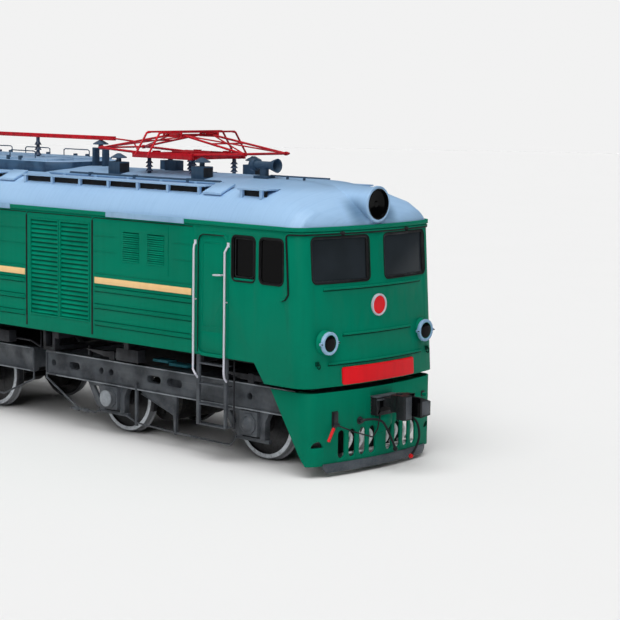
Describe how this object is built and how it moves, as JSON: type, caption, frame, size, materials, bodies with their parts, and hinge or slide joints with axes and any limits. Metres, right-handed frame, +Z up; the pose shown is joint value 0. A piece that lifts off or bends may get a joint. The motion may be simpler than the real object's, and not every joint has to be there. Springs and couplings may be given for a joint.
{
  "type": "electric locomotive cab section",
  "caption": "Cab section of a twin-section electric locomotive: green body, blue roof with folded red pantograph, on two joined bogies with an apron and coupler.",
  "frame": {"origin": "on the plane under the wheel flanges, midway between the coupler's tip and the rear drawbar's eye, on the centreline", "axes": "+X forwards towards the cab, +Y to the locomotive's left, +Z up"},
  "size_m": [14.0198, 3.258, 5.03],
  "materials": {
    "body_green": "gloss paint, weathered",
    "roof_blue": "satin paint",
    "gear_blue": "satin paint",
    "frame_grey": "satin paint, dusty",
    "strip_grey": "worn rubber",
    "plate_red": "gloss paint",
    "wheel_steel": "worn steel with white painted tyre faces",
    "glass_dark": "tinted glass",
    "lamp_glass": "clear lens",
    "rail_grey": "pale paint",
    "porcelain": "glazed porcelain",
    "interior": "satin paint",
    "seat_cloth": "vinyl",
    "bellows_black": "rubberised cloth",
    "hose_black": "rubber"
  },
  "bodies": {
    "carbody": {"cab_shell": "body_green", "side_walls": "body_green", "rear_wall": "body_green", "louvres": "body_green", "rain_gutter": "body_green", "roof_main": "roof_blue", "roof_cab": "roof_blue", "floor": "frame_grey", "centre_sills": "frame_grey", "cross_bearers": "frame_grey", "cab_bulkhead": "interior", "gangway_bellows": "bellows_black", "cab_windows": "glass_dark", "driver_desk": "interior", "cab_seats": "seat_cloth", "equipment_block": "interior", "headlight": "roof_blue", "buffer_lamps": "body_green", "lamp_lenses": "lamp_glass", "front_plates": "plate_red", "handrails": "rail_grey", "door_steps": "frame_grey", "roof_walkways": "roof_blue", "roof_hatches": "gear_blue", "roof_vents": "gear_blue", "roof_horn": "gear_blue", "busbar": "plate_red", "insulators": "porcelain", "pantograph_base": "plate_red", "underfloor_gear": "frame_grey"},
    "door_left": {"cab_door_left": "body_green"},
    "door_right": {"cab_door_right": "body_green"},
    "door_rear": {"gangway_door": "body_green"},
    "arm_lower_front": {"lower_arm_front": "plate_red"},
    "arm_lower_rear": {"lower_arm_rear": "plate_red"},
    "arm_upper_front": {"upper_arm_front": "plate_red"},
    "arm_upper_rear": {"upper_arm_rear": "plate_red"},
    "panto_head": {"pantograph_head": "plate_red"},
    "bogie_front": {"bogie_frame_front": "frame_grey", "axle_boxes_front": "frame_grey", "springs_front": "frame_grey", "motors_front": "frame_grey", "brakes_front": "frame_grey", "apron": "body_green", "plough_strip": "strip_grey", "coupler": "frame_grey", "uncoupling_lever": "frame_grey", "hose_left": "hose_black", "hose_right": "hose_black", "hose_fittings": "frame_grey"},
    "bogie_rear": {"bogie_frame_rear": "frame_grey", "axle_boxes_rear": "frame_grey", "springs_rear": "frame_grey", "motors_rear": "frame_grey", "brakes_rear": "frame_grey"},
    "wheels_1": {"wheelset_1": "wheel_steel"},
    "wheels_2": {"wheelset_2": "wheel_steel"},
    "wheels_3": {"wheelset_3": "wheel_steel"},
    "wheels_4": {"wheelset_4": "wheel_steel"}
  },
  "joints": [
    {"name": "bogie_front_yaw", "type": "hinge", "parent": "carbody", "child": "bogie_front", "pos_m": [3.027, 0, 1.32], "axis": [0, 0, 1], "range_deg": [-3, 3]},
    {"name": "bogie_rear_yaw", "type": "hinge", "parent": "carbody", "child": "bogie_rear", "pos_m": [-3.67, 0, 1.32], "axis": [0, 0, 1], "range_deg": [-3.2, 3.2]},
    {"name": "wheels_1_roll", "type": "hinge", "parent": "bogie_front", "child": "wheels_1", "pos_m": [4.627, 0, 0.63], "axis": [0, 1, 0], "continuous": true},
    {"name": "wheels_2_roll", "type": "hinge", "parent": "bogie_front", "child": "wheels_2", "pos_m": [1.427, 0, 0.63], "axis": [0, 1, 0], "continuous": true},
    {"name": "wheels_3_roll", "type": "hinge", "parent": "bogie_rear", "child": "wheels_3", "pos_m": [-2.07, 0, 0.63], "axis": [0, 1, 0], "continuous": true},
    {"name": "wheels_4_roll", "type": "hinge", "parent": "bogie_rear", "child": "wheels_4", "pos_m": [-5.27, 0, 0.63], "axis": [0, 1, 0], "continuous": true},
    {"name": "door_left_hinge", "type": "hinge", "parent": "carbody", "child": "door_left", "pos_m": [3.831, 1.474, 2.5], "axis": [0, 0, -1], "range_deg": [0, 85]},
    {"name": "door_right_hinge", "type": "hinge", "parent": "carbody", "child": "door_right", "pos_m": [3.831, -1.474, 2.5], "axis": [0, 0, 1], "range_deg": [0, 85]},
    {"name": "door_rear_hinge", "type": "hinge", "parent": "carbody", "child": "door_rear", "pos_m": [-6.614, -0.344, 2.5], "axis": [0, 0, -1], "range_deg": [0, 90]},
    {"name": "panto_raise", "type": "hinge", "parent": "carbody", "child": "arm_lower_front", "pos_m": [2.41, 0, 4.64], "axis": [0, -1, 0], "range_deg": [0, 40]},
    {"name": "panto_rear_lower", "type": "hinge", "parent": "carbody", "child": "arm_lower_rear", "pos_m": [1.71, 0, 4.64], "axis": [0, 1, 0], "range_deg": [0, 40]},
    {"name": "panto_front_knee", "type": "hinge", "parent": "arm_lower_front", "child": "arm_upper_front", "pos_m": [3.75, 0, 4.705], "axis": [0, 1, 0], "range_deg": [0, 70.4]},
    {"name": "panto_rear_knee", "type": "hinge", "parent": "arm_lower_rear", "child": "arm_upper_rear", "pos_m": [0.37, 0, 4.705], "axis": [0, -1, 0], "range_deg": [0, 70.4]},
    {"name": "panto_head_level", "type": "hinge", "parent": "arm_upper_front", "child": "panto_head", "pos_m": [2.21, 0, 4.96], "axis": [0, -1, 0], "range_deg": [0, 30.4]}
  ],
  "couplings": [
    {"joint": "bogie_rear_yaw", "follows": "bogie_front_yaw", "ratio": -1.0594},
    {"joint": "panto_rear_lower", "follows": "panto_raise", "ratio": 1},
    {"joint": "panto_front_knee", "follows": "panto_raise", "ratio": 1.755},
    {"joint": "panto_rear_knee", "follows": "panto_raise", "ratio": 1.755},
    {"joint": "panto_head_level", "follows": "panto_raise", "ratio": 0.755}
  ]
}
